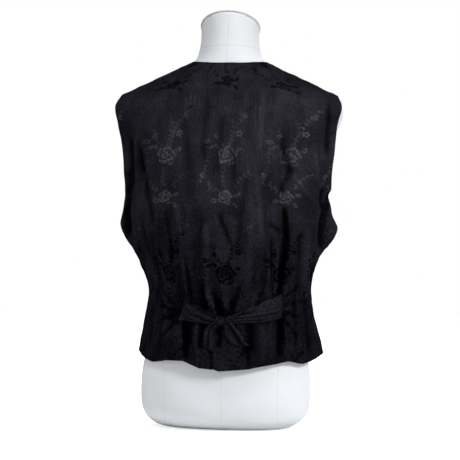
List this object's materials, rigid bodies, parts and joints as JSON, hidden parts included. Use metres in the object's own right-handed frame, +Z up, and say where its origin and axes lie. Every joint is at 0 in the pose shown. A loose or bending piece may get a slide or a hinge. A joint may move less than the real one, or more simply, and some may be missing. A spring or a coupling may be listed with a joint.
{
  "type": "waistcoat on dress form",
  "caption": "Sleeveless floral jacquard waistcoat with a knotted back tie belt, buttoned on a limbless, footless dress form.",
  "frame": {"origin": "middle of the form's flat underside, on its axis", "axes": "+Z up through the form's neck, -Y out of the waistcoat's back, +X towards the wearer's right side"},
  "size_m": [0.411, 0.2728, 0.7406],
  "materials": {
    "jacquard": "matt ground with satin flowers",
    "form_jersey": "matt jersey",
    "button": "gloss"
  },
  "bodies": {
    "root": {"form_body": "form_jersey", "form_neck_cap": "form_jersey", "back": "jacquard", "front_left": "jacquard", "front_right": "jacquard", "tie_left": "jacquard", "tie_right": "jacquard", "tie_knot": "jacquard", "tie_end_left": "jacquard", "tie_end_right": "jacquard", "button_1": "button", "button_2": "button", "button_3": "button", "button_4": "button"}
  },
  "joints": []
}
